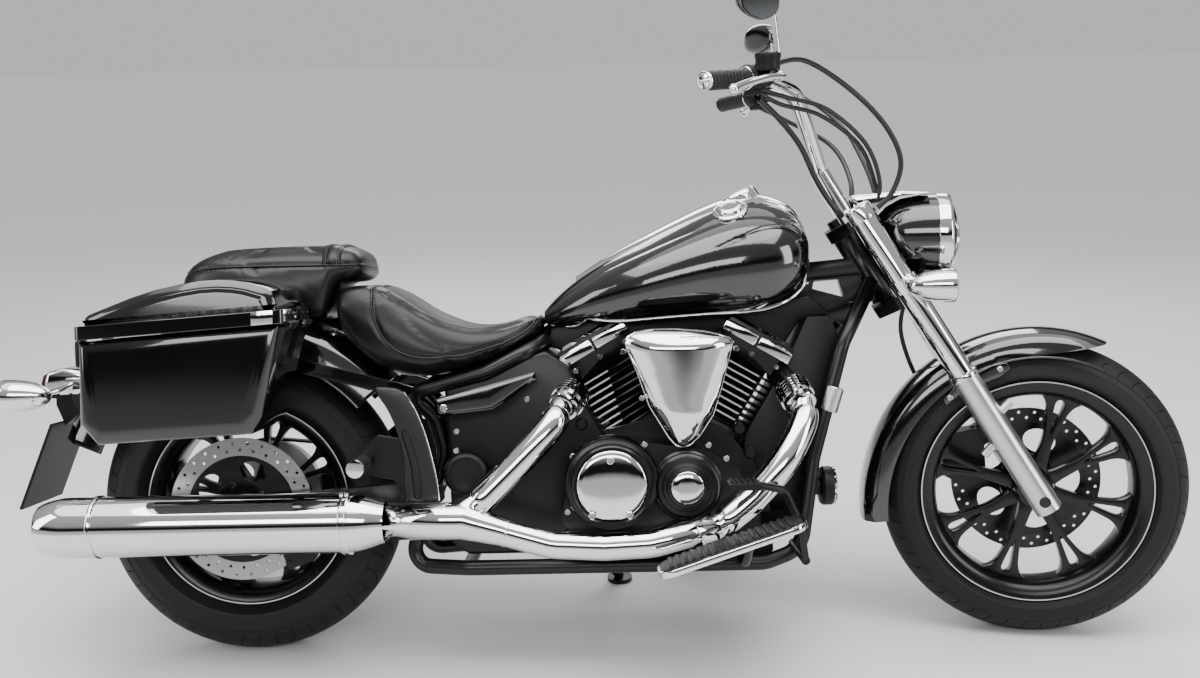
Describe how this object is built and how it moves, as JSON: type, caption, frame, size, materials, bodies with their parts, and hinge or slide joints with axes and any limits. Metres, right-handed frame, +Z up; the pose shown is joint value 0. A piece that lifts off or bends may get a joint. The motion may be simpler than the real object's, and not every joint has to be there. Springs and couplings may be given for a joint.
{
  "type": "cruiser motorcycle",
  "caption": "Air-cooled V-twin cruiser motorcycle with a low seat, hard saddlebags, floorboards and pulled-back handlebar, parked on its side stand.",
  "frame": {"origin": "on the floor, midway along X between the two wheel centres, under the upright bike's middle plane where it meets the rear tyre's contact", "axes": "+X toward the front wheel, +Y to the rider's left, +Z up; the motorcycle leans to +Y"},
  "size_m": [2.476, 0.9762, 1.3782],
  "materials": {
    "black_paint": "gloss",
    "black_frame": "satin",
    "black_engine": "satin",
    "chrome": "polished",
    "aluminium": "satin",
    "cast_black": "gloss",
    "steel": "brushed",
    "tyre": "matte",
    "rubber": "matte",
    "leather": "satin",
    "lens": "clear",
    "black_plastic": "matte",
    "hard_case": "gloss"
  },
  "bodies": {
    "chassis": {"frame": "black_frame", "engine_cases": "black_engine", "cylinders": "black_engine", "rocker_covers": "chrome", "engine_covers": "chrome", "air_cleaner": "chrome", "exhaust_pipes": "chrome", "silencer": "chrome", "fuel_tank": "black_paint", "tank_console": "chrome", "side_covers": "black_paint", "rider_seat": "leather", "passenger_seat": "leather", "rear_fender": "black_paint", "bag_rails": "chrome", "saddlebags": "hard_case", "rear_lamps": "chrome", "plate_holder": "black_plastic", "swingarm": "black_frame", "rear_axle": "steel", "drive_belt": "rubber", "rear_caliper": "aluminium", "floorboards": "rubber", "passenger_pegs": "chrome", "foot_controls": "chrome", "horn": "chrome"},
    "steering": {"yokes": "black_frame", "fork_legs": "aluminium", "front_axle": "steel", "front_fender": "black_paint", "headlamp": "chrome", "headlamp_lens": "lens", "front_signals": "chrome", "handlebar": "chrome", "grips": "rubber", "hand_controls": "chrome", "mirrors": "chrome", "control_cables": "rubber", "front_caliper": "aluminium"},
    "front_wheel": {"front_rim": "cast_black", "front_tyre": "tyre", "front_disc": "steel"},
    "rear_wheel": {"rear_rim": "cast_black", "rear_tyre": "tyre", "rear_disc": "steel", "rear_pulley": "aluminium"},
    "side_stand": {"side_stand": "black_frame"},
    "lid_right": {"lid_right": "hard_case"},
    "lid_left": {"lid_left": "hard_case"}
  },
  "joints": [
    {"name": "steering_turn", "type": "hinge", "parent": "chassis", "child": "steering", "pos_m": [0.48386, 0.14488, 0.79525], "axis": [-0.5308, 0.1525, 0.8337], "range_deg": [-26.5, 45.5]},
    {"name": "front_wheel_spin", "type": "hinge", "parent": "steering", "child": "front_wheel", "pos_m": [0.84223, 0.04992, 0.31894], "axis": [0.1401, 0.9859, -0.0912], "continuous": true},
    {"name": "rear_wheel_spin", "type": "hinge", "parent": "chassis", "child": "rear_wheel", "pos_m": [-0.84223, 0.05791, 0.31814], "axis": [0.0002, 0.9837, -0.1798], "continuous": true},
    {"name": "side_stand_fold", "type": "hinge", "parent": "chassis", "child": "side_stand", "pos_m": [-0.14207, 0.18762, 0.16095], "axis": [0.1258, 0.7261, 0.676], "range_deg": [0, 108.4]},
    {"name": "lid_right_open", "type": "hinge", "parent": "chassis", "child": "lid_right", "pos_m": [-0.66118, -0.17163, 0.75878], "axis": [0.0002, 0.9837, -0.1798], "range_deg": [0, 75]},
    {"name": "lid_left_open", "type": "hinge", "parent": "chassis", "child": "lid_left", "pos_m": [-0.66107, 0.42843, 0.64908], "axis": [0.0002, 0.9837, -0.1798], "range_deg": [0, 75]}
  ]
}
